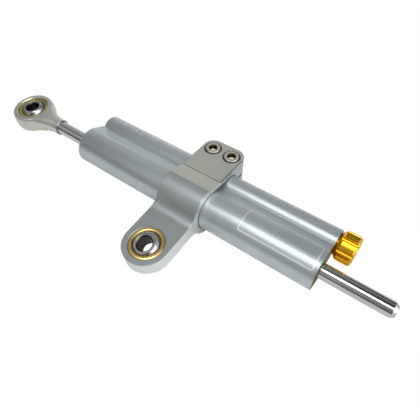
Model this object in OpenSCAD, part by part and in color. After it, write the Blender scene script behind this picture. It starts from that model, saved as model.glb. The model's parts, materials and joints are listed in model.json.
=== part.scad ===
// Steering damper: a through-rod hydraulic damper in a twin-bore body, with a split
// clamp whose arm holds one spherical bearing and a rod eye that holds the other.
// The frame's origin is the middle of the clamp's bearing. +X runs along the body
// towards the adjuster knob, the tubes lie on the +Y side, and +Z is up.

/* [Body] */
// Length of the twin-bore body
body_len = 154; // [140:1:180]
// Outer diameter of the main tube
main_d = 21.6; // [21:0.1:24]
// Bore of the main tube
main_bore_d = 16; // [15.5:0.1:16.5]
// Outer diameter of the small side tube
side_d = 14; // [13:0.1:15]
// Bore of the small side tube
side_bore_d = 10; // [9.8:0.1:10.4]
// Distance between the axes of the two tubes
tube_gap = 17.8; // [17.2:0.1:19]
// Slope of the web between the tubes, in degrees
web_angle = 29.5; // [27:0.5:31]
// Distance from the clamp's middle to the body's middle
clamp_offset = 0; // [-15:1:15]
// Length of the engraved frame on the main tube
panel_len = 41; // [20:1:42]
// Height of the engraved frame, across the tube
panel_h = 14.2; // [8:0.2:14.4]
// Distance from the engraved frame to the knob end of the body
panel_end_gap = 2; // [2:0.5:6]
// Turn of the engraved frame about the main tube, in degrees
panel_turn = 1; // [-10:1:10]

/* [Rod and eye] */
// Diameter of the piston rod
rod_d = 8; // [7:0.1:8.4]
// Bare rod between the body and the eye's collar, at rest
rod_out_eye = 27.2; // [27:0.2:40]
// Bare rod beyond the knob end of the body, at rest
rod_out_knob = 36.6; // [34:0.2:50]
// Length of the polished collar against the eye
collar_len = 2.8; // [2.4:0.2:6]
// Diameter of the polished collar
collar_d = 9.9; // [9.5:0.1:12]
// Outer diameter of the eye
eye_d = 26.2; // [25:0.2:32]
// Thickness of the eye
eye_t = 10.2; // [9:0.2:11]
// Distance from the collar to the middle of the eye's bearing
eye_reach = 24.4; // [23:0.1:28]
// Diameter of the eye's neck at its slimmest
neck_d = 9.4; // [9.2:0.2:12]

/* [Bearings] */
// Outer diameter of each spherical bearing
bearing_d = 19; // [18.6:0.1:20]
// Width of the bearing's outer race
race_w = 8.5; // [7.5:0.1:8.5]
// Diameter of the bearing's ball
ball_d = 15.9; // [15.5:0.1:16.2]
// Thickness of the liner between the race and the ball
liner_t = 0.4; // [0.3:0.05:0.6]
// Width of the ball across its flats
ball_w = 11; // [10.6:0.2:12]
// Bolt bore through the ball
ball_bore_d = 8; // [6:0.5:8]
// Lean of the clamp's loose ball at rest, away from the body, in degrees
clamp_ball_lean = 11; // [-11:1:11]

/* [Clamp] */
// Width of the clamp and its arm along the body
clamp_w = 25.5; // [24:0.5:30]
// Distance from the main tube's axis to the clamp's bearing
arm_reach = 36.5; // [34:0.5:50]
// Thickness of the clamp's arm
arm_t = 8.5; // [8.5:0.1:11]
// Outer diameter of the clamp's barrel
barrel_d = 29.6; // [29:0.2:34]
// Radius of the fillets between the arm and the barrel
arm_fillet_r = 7.5; // [3:0.5:8]
// Slope of the facet over the barrel, in degrees
facet_tilt = 19; // [16:1:21]
// Distance from the facet to the main tube's axis
facet_h = 14.3; // [14.1:0.1:14.6]
// Slope of the clamping ears, in degrees
ear_tilt = 6.5; // [0:0.5:8]
// Height of the ears' outer faces from the side tube's axis
ear_h = 10.65; // [10.2:0.05:12]
// Reach of the ears past the side tube's axis
ear_reach = 18.4; // [17.6:0.1:22]
// Distance from the side tube's axis to the screws
screw_reach = 11.2; // [10.8:0.1:12]
// Distance between the two clamp screws
screw_pitch = 12.5; // [11:0.1:13]
// Width of the clamp's slot
slot_w = 1.6; // [1:0.1:2.4]

/* [Clamp screws] */
// Thread diameter of the clamp screws
screw_d = 5; // [4:0.5:5]
// Length of the clamp screws under the head
screw_len = 15.9; // [14:0.1:16.2]
// Diameter of the screw heads
screw_head_d = 8.5; // [7:0.1:9]
// Height of the screw heads
screw_head_h = 5; // [4:0.1:5.4]
// Diameter of the counterbores
counterbore_d = 10.2; // [9.6:0.1:10.4]
// Width of the hexagon socket across its flats
screw_socket = 4; // [3:0.5:4]

/* [Adjuster] */
// Diameter of the knob
knob_d = 16; // [14:0.1:17.6]
// Length of the knob
knob_len = 9.7; // [8:0.1:12]
// Gap between the body and the knob
knob_gap = 0.4; // [0.4:0.1:3]
// Number of grooves in the knob
knob_grooves = 8; // [5:1:10]
// Radius of each groove in the knob
knob_groove_r = 1.1; // [0.6:0.1:1.3]
// Travel of the needle for each turn of the knob
needle_pitch = 1; // [0.5:0.1:1]
// Turns of the knob from its middle setting to either stop
knob_turns = 1; // [0.5:0.5:1]

/* [Hydraulics] */
// Full stroke of the rod
stroke = 60; // [50:1:62]
// Length of the piston with its shims, washers and circlips
piston_pack_len = 16; // [14:0.5:20]
// Diameter of the flow orifice in the needle's seat
orifice_d = 2.4; // [1.8:0.1:2.8]
// Length of the floating piston
float_len = 7; // [6:0.5:8]
// Diameter of the transfer ports between the bores
port_d = 2.4; // [1.6:0.1:3]

/* [Hidden] */
$fn = 96;
facet_fn = 32;
eps = 0.01;

// Clearances: a running fit, a seated fit and a loose fit, each on the radius
run_gap = 0.04;
seat_gap = 0.02;
clamp_gap = 0.05;
loose_gap = 0.15;

// Where a round runs into a flat, it starts this little below it
blend_sink = 0.02;

// Tube axes, the body's two ends, and each side's sign along X
main_r = main_d / 2;
side_r = side_d / 2;
main_bore_r = main_bore_d / 2;
side_bore_r = side_bore_d / 2;
main_y = arm_reach;
side_y = arm_reach + tube_gap;
body_mid_x = -clamp_offset;
EYE = -1;
KNOB = 1;

// Circlips sit in grooves a little inside the body's ends
circlip_inset = 0.9;
circlip_t = 1;
circlip_groove_depth = 0.6;
circlip_bite = circlip_groove_depth - seat_gap;
circlip_w = 1.5;
circlip_opening = 2.2;
circlip_back = circlip_inset + circlip_t + seat_gap;

// Rod guides: a sealed head and a slimmer nose that stops the piston
rod_r = rod_d / 2;
guide_nose_end = (body_len - stroke - piston_pack_len) / 2;
guide_head_end = 24;
guide_nose_r = main_bore_r - 2;
guide_pocket_r = rod_r + 2.2;
wiper_len = 3.2;
seal_washer_t = 0.9;
seal_len = 4;
wiper_end = circlip_back + wiper_len;
washer_end = wiper_end + seal_washer_t;
pocket_end = washer_end + seal_len;
bush_len = 9;
bush_wall = 1;
bush_inset = 0.2;
rod_hole_r = rod_r + loose_gap;
ring_section = 1.8;
guide_ring_depth = 14;
port_depth = (guide_head_end + guide_nose_end) / 2;

// Rod, measured along X
rod_eye_end_x = body_mid_x - body_len / 2 - rod_out_eye - collar_len;
rod_tip_x = body_mid_x + body_len / 2 + rod_out_knob;
eye_x = rod_eye_end_x - eye_reach;
stud_r = 3;
stud_len = 8.6;
rod_tip_chamfer = 1.15;
rod_tip_taper = 1.8;

// The eye's head flares into its neck along an arc that touches the head
eye_flare_r = 32;
eye_flare_y = neck_d / 2 + eye_flare_r;
eye_flare_x = sqrt(pow(eye_d / 2 + eye_flare_r, 2) - pow(eye_flare_y, 2));
flare_start = eye_flare_x * (eye_d / 2) / (eye_d / 2 + eye_flare_r);

// The rod sits off its mid-stroke place by half the difference of its bare lengths
rod_shift = (rod_out_knob - rod_out_eye) / 2;
piston_x = body_mid_x + rod_shift;
piston_clip_t = 1;
piston_washer_t = 1.2;
shim_t = 0.6;
piston_len = piston_pack_len - 2 * (piston_clip_t + piston_washer_t + shim_t);
piston_r = main_bore_r - 0.15;
band_r = main_bore_r - run_gap;
band_len = 5;
band_depth = 1;
rod_groove_depth = 0.6;
piston_port_r = 0.8;
piston_port_n = 6;

// Spherical bearings
race_r = bearing_d / 2;
ball_r = ball_d / 2;
liner_r = ball_r + run_gap + liner_t;
race_lip = 0.75;
race_face_w = 2.2;
race_chamfer = 0.3;
ball_bore_chamfer = 0.6;

// Side tube, reservoir end: plug, gas room and floating piston, as depths
plug_len = 7;
plug_end = circlip_back + plug_len;
gas_len = 8;
float_start = plug_end + gas_len;
fill_r = 1.5;
fill_head_r = 2.5;
fill_head_h = 1.6;
fill_screw_len = 5;
fill_socket = 2;

// Side tube, knob end: the adjuster, as depths from the body's end
sleeve_start = 0.5;
sleeve_len = 24;
sleeve_end = sleeve_start + sleeve_len;
spindle_r = 2.5;
flange_r = 2.85;
flange_start = 8;
flange_t = 1.6;
hex_pocket_start = flange_start - run_gap;
hex_pocket = 6;
needle_hex = hex_pocket - 2 * run_gap;
thread_r = 1.4;
needle_hex_start = 12.5;
needle_hex_end = 21.5;
needle_stem_r = 1.5;
needle_cone_start = 30.5;
needle_cone_len = 4;
needle_tip_r = 0.4;
needle_slope = (needle_stem_r - needle_tip_r) / needle_cone_len;
closed_gap = 0.05;
needle_travel = needle_pitch * knob_turns;
orifice_r = orifice_d / 2;
seat_face_r = orifice_r - closed_gap - needle_travel * needle_slope;
seat_start = needle_cone_start + (needle_stem_r - seat_face_r) / needle_slope;
seat_len = 6;
thread_end = needle_hex_end - needle_travel - 1.2;

// Knob, its hub and its detent, as heights beyond the body's end
knob_r = knob_d / 2;
hub_r = side_bore_r - 0.3;
hub_back = -0.1;
knob_back_chamfer = 2;
knob_front_chamfer = 1.2;
knob_dish = 1.2;
knob_dish_r = 4.6;
knob_floor = knob_gap + knob_len - knob_dish - 2;
knob_lobe_turn = 33;
knob_screw_r = 1.2;
knob_screw_head_r = 2.2;
knob_screw_head_h = 1.3;
knob_screw_len = 6;
knob_socket = 1.5;
detent_r = 3.8;
detent_hole_r = 0.8;
detent_ball_r = 0.75;
detent_depth = 6;
detent_n = 24;
detent_dimple_r = 0.6;
detent_wire_r = 0.12;
detent_turns = 6;
detent_steps = 8;

// Clamp
barrel_r = barrel_d / 2;
screw_r = screw_d / 2;
head_proud = 0.7;
thread_gap = 0.02;
ear_corner_r = (clamp_w - screw_pitch) / 2;

// Places a shape whose +Z runs inwards from one end of the body, on one tube's axis
module at_end(side, y) {
    translate([body_mid_x + side * body_len / 2, y, 0]) rotate([0, -side * 90, 0]) children();
}

// Places a shape whose +Z runs out of the body's knob end, on the side tube's axis
module beyond_knob_end() {
    translate([body_mid_x + body_len / 2, side_y, 0]) rotate([0, 90, 0]) children();
}

// Places a shape whose +Z runs along +X from x, on the main tube's axis
module on_rod(x) {
    translate([x, main_y, 0]) rotate([0, 90, 0]) children();
}

// Extrudes a flat shape, drawn as Y and Z, along X
module along_body(x, len) {
    translate([x, 0, 0]) rotate([90, 0, 90]) linear_extrude(len) children();
}

// A plain ring or bush
module ring(outer, inner, from, to) {
    rotate_extrude() translate([inner, from]) square([outer - inner, to - from]);
}

// An O-ring
module o_ring(outer, section, at) {
    rotate_extrude() translate([outer - section / 2, at]) circle(d = section);
}

// The groove that an O-ring lies in, cut from a shaft
module o_ring_groove(outer, section, at) {
    ring(outer + 1, outer - section - seat_gap, at - section * 0.65, at + section * 0.65);
}

// An internal circlip with its opening and two lugs
module circlip(bore) {
    outer = bore + circlip_bite;
    lug_r = 1.1;
    lug_hole_r = 0.45;
    lug_reach = circlip_w + 0.5;
    difference() {
        union() {
            ring(outer, outer - circlip_w, circlip_inset, circlip_inset + circlip_t);
            for (s = [-1, 1]) rotate([0, 0, s * 24])
                translate([outer - lug_reach, 0, circlip_inset]) cylinder(r = lug_r, h = circlip_t);
        }
        translate([0, -circlip_opening / 2, circlip_inset - 1])
            cube([bore * 2, circlip_opening, circlip_t + 2]);
        for (s = [-1, 1]) rotate([0, 0, s * 24])
            translate([outer - lug_reach, 0, circlip_inset - 1]) cylinder(r = lug_hole_r, h = circlip_t + 2);
    }
}

// A hexagon socket, cut inwards from a face at z = 0
module hex_socket(flats, depth) {
    translate([0, 0, -1]) cylinder(d = flats / cos(30), h = depth + 1, $fn = 6);
}

// Section of the web: it runs off the main tube on both faces and into the side tube
module web_section() {
    r1 = main_r - blend_sink;
    r2 = side_r - 1;
    t = [r1 * sin(web_angle), r1 * cos(web_angle)];
    along = [cos(web_angle), -sin(web_angle)];
    from_side = [t[0] - tube_gap, t[1]];
    b = along * from_side;
    v = t + (-b - sqrt(b * b - from_side * from_side + r2 * r2)) * along;
    polygon([[0, 0], t, v, [tube_gap, 0], [v[0], -v[1]], [t[0], -t[1]]]);
}

// Twin-bore blank: the main tube with its web, then the side tube
module body_blank() {
    start = body_mid_x - body_len / 2;
    union() {
        along_body(start, body_len) translate([main_y, 0]) circle(r = main_r);
        along_body(start, body_len) translate([main_y, 0]) web_section();
    }
    along_body(start, body_len) translate([side_y, 0]) circle(r = side_r);
}

// A rectangle with round corners, about its middle
module round_rect(l, h, r) {
    hull() for (x = [-1, 1], y = [-1, 1])
        translate([x * (l / 2 - r), y * (h / 2 - r)]) circle(r = r, $fn = facet_fn);
}

// The engraved line of the panel's frame, sunk into the main tube
module panel_groove() {
    groove_w = 0.8;
    groove_depth = 0.25;
    corner = 1.1;
    translate([body_mid_x + body_len / 2 - panel_end_gap - panel_len / 2, main_y, 0])
        intersection() {
            rotate([panel_turn, 0, 0]) linear_extrude(main_d) difference() {
                round_rect(panel_len, panel_h, corner);
                round_rect(panel_len - 2 * groove_w, panel_h - 2 * groove_w, corner - groove_w);
            }
            rotate([0, 90, 0]) ring(main_r + 1, main_r - groove_depth, -panel_len, panel_len);
        }
}

module body_housing() {
    color("silver") difference() {
        body_blank();
        for (side = [EYE, KNOB]) {
            at_end(side, main_y) {
                translate([0, 0, -1]) cylinder(r = main_bore_r, h = body_len / 2 + 2);
                ring(main_bore_r + circlip_groove_depth, main_bore_r - 1,
                    circlip_inset - seat_gap, circlip_back);
            }
            at_end(side, side_y) translate([0, 0, -1]) cylinder(r = side_bore_r, h = body_len / 2 + 2);
            at_end(side, main_y) translate([0, 0, port_depth]) rotate([-90, 0, 0])
                cylinder(d = port_d, h = tube_gap);
        }
        at_end(EYE, side_y) ring(side_bore_r + circlip_groove_depth, side_bore_r - 1,
            circlip_inset - seat_gap, circlip_back);
        panel_groove();
    }
}

// Rod guide: wiper and seal pocket at the outer end, bush pocket in the nose
module rod_guide(side) {
    outer = main_bore_r - seat_gap;
    color("gainsboro") at_end(side, main_y) difference() {
        union() {
            cylinder_between(outer, circlip_back, guide_head_end);
            cylinder_between(guide_nose_r, guide_head_end, guide_nose_end);
        }
        cylinder_between(rod_hole_r, 0, guide_nose_end + 1);
        cylinder_between(guide_pocket_r, 0, pocket_end);
        cylinder_between(rod_r + run_gap + bush_wall, guide_nose_end - bush_len, guide_nose_end + 1);
        o_ring_groove(outer, ring_section, guide_ring_depth);
    }
}

module cylinder_between(r, from, to) {
    translate([0, 0, from]) cylinder(r = r, h = to - from);
}

module rod_bush(side) {
    inner = rod_r + run_gap;
    color("goldenrod") at_end(side, main_y)
        ring(inner + bush_wall - seat_gap, inner, guide_nose_end - bush_len, guide_nose_end - bush_inset);
}

// Rod seal: a U-shaped ring whose open side faces the oil
module rod_seal(side) {
    inner = rod_r + run_gap;
    outer = guide_pocket_r - seat_gap;
    color("dimgray") at_end(side, main_y) rotate_extrude() polygon([
        [inner, washer_end + seat_gap], [outer, washer_end + seat_gap], [outer, pocket_end - seat_gap],
        [outer - 0.6, pocket_end - seat_gap], [(inner + outer) / 2, pocket_end - 1.6],
        [inner + 0.5, pocket_end - seat_gap], [inner, pocket_end - seat_gap]
    ]);
}

module seal_washer(side) {
    color("silver") at_end(side, main_y)
        ring(guide_pocket_r - seat_gap, rod_hole_r, wiper_end + seat_gap, washer_end);
}

// Wiper: a thin lip scrapes the rod at the outer face
module rod_wiper(side) {
    inner = rod_r + run_gap;
    outer = guide_pocket_r - seat_gap;
    lip = 0.6;
    color("black") at_end(side, main_y) rotate_extrude() polygon([
        [inner, circlip_back - lip], [inner + 0.45, circlip_back - lip],
        [inner + 0.9, circlip_back + seat_gap], [outer, circlip_back + seat_gap], [outer, wiper_end],
        [inner + 0.4, wiper_end], [inner + 0.4, circlip_back + 2 * lip], [inner, circlip_back + lip]
    ]);
}

module guide_o_ring(side) {
    color("black") at_end(side, main_y) o_ring(main_bore_r - seat_gap, ring_section, guide_ring_depth);
}

module guide_circlip(side) {
    color("darkgoldenrod") at_end(side, main_y) circlip(main_bore_r);
}

// Piston rod with its threaded stud for the eye, circlip grooves and chamfered tip
module piston_rod() {
    rod_len = rod_tip_x - rod_eye_end_x;
    groove_at = (piston_pack_len - piston_clip_t) / 2;
    groove_half = piston_clip_t / 2 + seat_gap;
    color("gainsboro") difference() {
        on_rod(rod_eye_end_x) rotate_extrude() polygon([
            [0, -stud_len], [stud_r - 0.4, -stud_len], [stud_r, 0.4 - stud_len], [stud_r, 0],
            [rod_r, 0], [rod_r, rod_len - rod_tip_taper], [rod_r - rod_tip_chamfer, rod_len], [0, rod_len]
        ]);
        for (s = [-1, 1]) on_rod(piston_x + s * groove_at)
            ring(rod_r + 1, rod_r - rod_groove_depth, -groove_half, groove_half);
    }
}

// Piston with a band groove and a ring of axial ports under the shims
module piston() {
    color("silver") on_rod(piston_x) difference() {
        cylinder_between(piston_r, -piston_len / 2, piston_len / 2);
        cylinder_between(rod_r + run_gap, -piston_len, piston_len);
        ring(piston_r + 1, piston_r - band_depth, -band_len / 2, band_len / 2);
        for (i = [0:piston_port_n - 1]) rotate([0, 0, i * 360 / piston_port_n])
            translate([(rod_r + piston_r - band_depth) / 2, 0, -piston_len])
                cylinder(r = piston_port_r, h = 2 * piston_len);
    }
}

module piston_band() {
    color("darkslategray") on_rod(piston_x)
        ring(band_r, piston_r - band_depth + seat_gap, -band_len / 2 + seat_gap, band_len / 2 - seat_gap);
}

// A disc of the piston's pack, on the side with this sign
module pack_disc(s, outer, inner, from, thickness) {
    a = s * from;
    b = s * (from + thickness);
    on_rod(piston_x) ring(outer, inner, min(a, b), max(a, b));
}

module shim_stack(s) {
    color("lightsteelblue") pack_disc(s, piston_r - 0.6, rod_r + run_gap, piston_len / 2, shim_t);
}

module piston_washer(s) {
    color("silver")
        pack_disc(s, rod_r + 1.6, rod_r + run_gap, piston_len / 2 + shim_t, piston_washer_t - seat_gap);
}

module piston_circlips() {
    inner = rod_r - rod_groove_depth + seat_gap;
    color("darkgoldenrod") for (s = [-1, 1])
        pack_disc(s, rod_r + 0.9, inner, piston_pack_len / 2 - piston_clip_t, piston_clip_t);
}

// Half the eye's width where it flares from the neck into the head, u from the middle
function eye_flare(u) = eye_flare_y - sqrt(pow(eye_flare_r, 2) - pow(eye_flare_x - u, 2));

// The flare is turned about the rod's axis, so that it runs out into a round neck.
// It starts a little under the head's surface and comes out of it.
module flare_turning() {
    steps = 16;
    sink = 0.5;
    rotate([0, 90, 0]) rotate_extrude() polygon(concat(
        [[0, 0], [eye_flare(flare_start) - sink, 0]],
        [for (i = [0:steps]) let (t = i / steps, u = flare_start + t * (eye_reach - flare_start))
            [eye_flare(u) - sink * pow(1 - t, 2), u]],
        [[0, eye_reach]]
    ));
}

// Rod eye: a crowned round head that flares into the neck, bored for its race and stud
module rod_eye() {
    h = eye_t / 2;
    r = eye_d / 2;
    color("lightgray") translate([eye_x, main_y, 0]) difference() {
        union() {
            rotate_extrude() polygon([
                [0, -h], [r - 1.4, -h], [r - 0.95, 0.25 - h], [r - 0.6, 0.9 - h], [r - 0.25, 2.2 - h], [r, -0.8],
                [r, 0.8], [r - 0.25, h - 2.2], [r - 0.6, h - 0.9], [r - 0.95, h - 0.25], [r - 1.4, h], [0, h]
            ]);
            intersection() {
                translate([0, -r, -h]) cube([2 * eye_reach, eye_d, eye_t]);
                flare_turning();
            }
        }
        cylinder(r = race_r + seat_gap, h = 2 * eye_t, center = true);
        translate([eye_reach - stud_len - 0.3, 0, 0]) rotate([0, 90, 0])
            cylinder(r = stud_r + seat_gap, h = stud_len + 1);
    }
}

// Collar: a polished ring whose front is hollowed down to the rod
module eye_collar() {
    r = collar_d / 2;
    rim = collar_len - 0.8;
    color("gainsboro") on_rod(rod_eye_end_x) rotate_extrude() polygon([
        [rod_r + seat_gap, 0], [r - 0.3, 0], [r, 0.3], [r, rim - 0.15], [r - 0.15, rim],
        [(r + rod_r) / 2, rim + 0.15], [rod_r + 0.25, rim + 0.45], [rod_r + 0.15, collar_len],
        [rod_r + seat_gap, collar_len]
    ]);
}

// Blank of the race and its liner: flat faces with a cone down to the ball
module race_blank() {
    h = race_w / 2;
    face_r = race_r - race_face_w;
    rotate_extrude() polygon([
        [1, -h + race_lip], [face_r - race_lip, -h + race_lip], [face_r, -h], [race_r - race_chamfer, -h],
        [race_r, -h + race_chamfer], [race_r, h - race_chamfer], [race_r - race_chamfer, h], [face_r, h],
        [face_r - race_lip, h - race_lip], [1, h - race_lip]
    ]);
}

// Outer race of a spherical bearing, hollowed for its liner
module bearing_race() {
    difference() {
        race_blank();
        sphere(r = liner_r + run_gap);
        cylinder(r = 2, h = 2 * race_w, center = true);
    }
}

// Liner: a thin spherical shell that the ball turns in
module bearing_liner() {
    difference() {
        intersection() {
            race_blank();
            sphere(r = liner_r);
        }
        sphere(r = ball_r + run_gap);
        cylinder(r = 2, h = 2 * race_w, center = true);
    }
}

// Ball of a spherical bearing, with flats and a chamfered bolt bore
module bearing_ball() {
    h = ball_w / 2;
    bore_r = ball_bore_d / 2;
    mouth = ball_bore_chamfer + eps;
    difference() {
        intersection() {
            sphere(r = ball_r);
            cylinder(r = ball_r + 1, h = ball_w, center = true);
        }
        cylinder(d = ball_bore_d, h = 2 * ball_w, center = true);
        for (s = [0, 180]) rotate([s, 0, 0]) translate([0, 0, h - ball_bore_chamfer])
            rotate_extrude() polygon([[0, 0], [bore_r, 0], [bore_r + mouth, mouth], [0, mouth]]);
    }
}

module eye_bearing_race() {
    color("goldenrod") translate([eye_x, main_y, 0]) bearing_race();
}

module eye_bearing_liner() {
    color("saddlebrown") translate([eye_x, main_y, 0]) bearing_liner();
}

module eye_bearing_ball() {
    color("gainsboro") translate([eye_x, main_y, 0]) bearing_ball();
}

module clamp_bearing_race() {
    color("goldenrod") bearing_race();
}

module clamp_bearing_liner() {
    color("saddlebrown") bearing_liner();
}

module clamp_bearing_ball() {
    color("gainsboro") rotate([clamp_ball_lean, 0, 0]) bearing_ball();
}

// Places a shape in the ears' own tilted frame, at the side tube's axis
module at_ears() {
    translate([0, side_y, 0]) rotate([-ear_tilt, 0, 0]) children();
}

// Section of the ears, drawn in their own frame, and long enough to sink into the barrel
module ear_section() {
    inner = tube_gap - main_r * 0.6;
    translate([-inner, -ear_h]) square([inner + ear_reach, 2 * ear_h]);
}

// Section of the clamp's bore: both tubes, and straight tangents that bridge the web
module clamp_bore_section() {
    a = asin((main_r - side_r) / tube_gap);
    r1 = main_r + clamp_gap - blend_sink;
    r2 = side_r + clamp_gap - blend_sink;
    translate([main_y, 0]) {
        circle(r = main_r + clamp_gap);
        translate([tube_gap, 0]) circle(r = side_r + clamp_gap);
        polygon([
            [r1 * sin(a), r1 * cos(a)], [tube_gap + r2 * sin(a), r2 * cos(a)],
            [tube_gap + r2 * sin(a), -r2 * cos(a)], [r1 * sin(a), -r1 * cos(a)]
        ]);
    }
}

// Outer section of the clamp: barrel and ears, with the sloping facet that runs down to the ears' flat
module clamp_section() {
    big = 4 * barrel_d;
    difference() {
        union() {
            translate([main_y, 0]) circle(r = barrel_r);
            translate([side_y, 0]) rotate(-ear_tilt) ear_section();
            translate([main_y, 0]) rotate(-facet_tilt) square([tube_gap, facet_h]);
        }
        intersection() {
            translate([main_y, 0]) rotate(-facet_tilt) translate([-big / 2, facet_h]) square([big, big]);
            translate([side_y, 0]) rotate(-ear_tilt) translate([-big / 2, ear_h]) square([big, big]);
        }
    }
}

// Section of the arm with its two fillets into the barrel
module arm_section() {
    fz = arm_t / 2 + arm_fillet_r - blend_sink;
    reach = barrel_r + arm_fillet_r - blend_sink;
    fy = sqrt(reach * reach - fz * fz);
    difference() {
        translate([main_y - fy, -fz]) square([fy, 2 * fz]);
        for (s = [-1, 1]) translate([main_y - fy, s * fz]) circle(r = arm_fillet_r);
        translate([main_y - main_r / 2, -barrel_d]) square([barrel_d, 2 * barrel_d]);
    }
}

// Clamp bracket: barrel, split ears with two counterbored screw holes, and the arm
module clamp_bracket() {
    half = clamp_w / 2;
    big = 3 * barrel_d;
    color("lightslategray") difference() {
        union() {
            intersection() {
                along_body(-half, clamp_w) clamp_section();
                at_ears() union() {
                    translate([-half, -big, -big]) cube([clamp_w, big + ear_reach - ear_corner_r, 2 * big]);
                    for (s = [-1, 1]) translate([s * screw_pitch / 2, ear_reach - ear_corner_r, -big])
                        cylinder(r = ear_corner_r + blend_sink, h = 2 * big);
                    translate([-screw_pitch / 2, 0, -big]) cube([screw_pitch, big, 2 * big]);
                }
            }
            along_body(-half, clamp_w) arm_section();
            translate([0, 0, -arm_t / 2]) {
                intersection() {
                    cylinder(r = half + blend_sink, h = arm_t);
                    translate([-half, -big, 0]) cube([clamp_w, 2 * big, arm_t]);
                }
                translate([-half, 0, 0]) cube([clamp_w, arm_reach - main_r, arm_t]);
            }
        }
        along_body(-half - 1, clamp_w + 2) clamp_bore_section();
        cylinder(r = race_r + seat_gap, h = 2 * arm_t, center = true);
        at_ears() {
            translate([-clamp_w, 0, -slot_w / 2]) cube([2 * clamp_w, 2 * ear_reach, slot_w]);
            for (s = [-1, 1]) translate([s * screw_pitch / 2, screw_reach, 0]) {
                cylinder(r = screw_r + loose_gap, h = 2 * ear_h);
                translate([0, 0, ear_h - screw_head_h + head_proud]) cylinder(d = counterbore_d, h = ear_h);
                translate([0, 0, -2 * ear_h]) cylinder(r = screw_r + thread_gap, h = 2 * ear_h);
            }
        }
    }
}

// One socket-head screw, its head's top at z = 0
module socket_screw(r, len, head_r, head_h, socket) {
    edge = head_h * 0.08;
    difference() {
        rotate_extrude() polygon([
            [0, -head_h - len], [r - 0.4, -head_h - len], [r, 0.4 - head_h - len], [r, -head_h],
            [head_r, -head_h], [head_r, -edge], [head_r - edge, 0], [0, 0]
        ]);
        rotate([180, 0, 0]) hex_socket(socket, head_h / 2);
    }
}

module clamp_screws() {
    color("silver") at_ears() for (s = [-1, 1])
        translate([s * screw_pitch / 2, screw_reach, ear_h + head_proud]) rotate([0, 0, s * 12])
            socket_screw(screw_r, screw_len, screw_head_d / 2, screw_head_h, screw_socket);
}

// Adjuster sleeve: a screwed-in bush with a spindle hole, a hexagonal guide for the
// needle and a blind hole for the detent spring
module adjuster_sleeve() {
    outer = side_bore_r - seat_gap;
    color("dimgray") at_end(KNOB, side_y) difference() {
        cylinder_between(outer, sleeve_start, sleeve_end);
        cylinder_between(spindle_r + run_gap, 0, sleeve_end);
        translate([0, 0, hex_pocket_start]) cylinder(d = hex_pocket / cos(30), h = sleeve_len, $fn = 6);
        translate([0, detent_r, sleeve_start - 1]) cylinder(r = detent_hole_r, h = detent_depth + 1);
        o_ring_groove(outer, 1, sleeve_end - 5);
    }
}

module adjuster_sleeve_o_ring() {
    color("black") at_end(KNOB, side_y) o_ring(side_bore_r - seat_gap, 1, sleeve_end - 5);
}

// Spindle: turned by the knob, held by its flange, threaded into the needle
module adjuster_spindle() {
    top = -(knob_floor - seat_gap);
    color("lightsteelblue") at_end(KNOB, side_y) difference() {
        union() {
            cylinder_between(spindle_r, top, flange_start + eps);
            cylinder_between(flange_r, flange_start, flange_start + flange_t);
            cylinder_between(thread_r, flange_start, thread_end);
        }
        cylinder_between(knob_screw_r + thread_gap, top - 1, top + knob_screw_len);
        o_ring_groove(spindle_r, 0.9, 4);
    }
}

module spindle_o_ring() {
    color("black") at_end(KNOB, side_y) o_ring(spindle_r, 0.9, 4);
}

// Needle: a hexagonal slider with a fine tapered tip
module adjuster_needle() {
    color("silver") at_end(KNOB, side_y) difference() {
        union() {
            translate([0, 0, needle_hex_start])
                cylinder(d = needle_hex / cos(30), h = needle_hex_end - needle_hex_start, $fn = 6);
            cylinder_between(needle_stem_r, needle_hex_end - eps, needle_cone_start);
            translate([0, 0, needle_cone_start])
                cylinder(r1 = needle_stem_r, r2 = needle_tip_r, h = needle_cone_len);
        }
        cylinder_between(thread_r + run_gap, needle_hex_start - 1, needle_hex_end);
    }
}

module needle_seat() {
    outer = side_bore_r - seat_gap;
    color("goldenrod") at_end(KNOB, side_y) difference() {
        cylinder_between(outer, seat_start, seat_start + seat_len);
        cylinder_between(orifice_r, seat_start - 1, seat_start + seat_len + 1);
        cylinder_between(orifice_r + 1.2, seat_start + 2.5, seat_start + seat_len + 1);
        o_ring_groove(outer, 1, seat_start + seat_len / 2);
    }
}

module seat_o_ring() {
    color("black") at_end(KNOB, side_y) o_ring(side_bore_r - seat_gap, 1, seat_start + seat_len / 2);
}

// Adjuster knob: grooved rim, dished front, and a hub with detent dimples
module adjuster_knob() {
    front = knob_gap + knob_len;
    color("gold") beyond_knob_end() difference() {
        rotate_extrude() polygon([
            [0, hub_back], [hub_r, hub_back], [hub_r, knob_gap], [knob_r - knob_back_chamfer, knob_gap],
            [knob_r, knob_gap + knob_back_chamfer], [knob_r, front - knob_front_chamfer],
            [knob_r - knob_front_chamfer, front], [knob_dish_r + 0.6, front], [knob_dish_r, front - 0.6],
            [knob_dish_r, front - knob_dish], [0, front - knob_dish]
        ]);
        for (i = [0:knob_grooves - 1]) rotate([0, 0, knob_groove_turn(i)])
            translate([knob_r + knob_groove_r * 0.1, 0, knob_gap - 1])
                cylinder(r = knob_groove_r, h = knob_len + 2);
        translate([0, 0, hub_back - 1]) cylinder(r = spindle_r + seat_gap, h = knob_floor - hub_back + 1);
        cylinder(r = knob_screw_r + loose_gap, h = 2 * knob_len);
        for (i = [0:detent_n - 1]) rotate([0, 0, i * 360 / detent_n])
            translate([detent_r, 0, hub_back - detent_dimple_r / 2]) sphere(r = detent_dimple_r);
    }
}

// Angle of a groove, measured so that one lobe of the rim faces the bearing side
function knob_groove_turn(i) = 180 + knob_lobe_turn + (i + 0.5) * 360 / knob_grooves;

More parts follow.
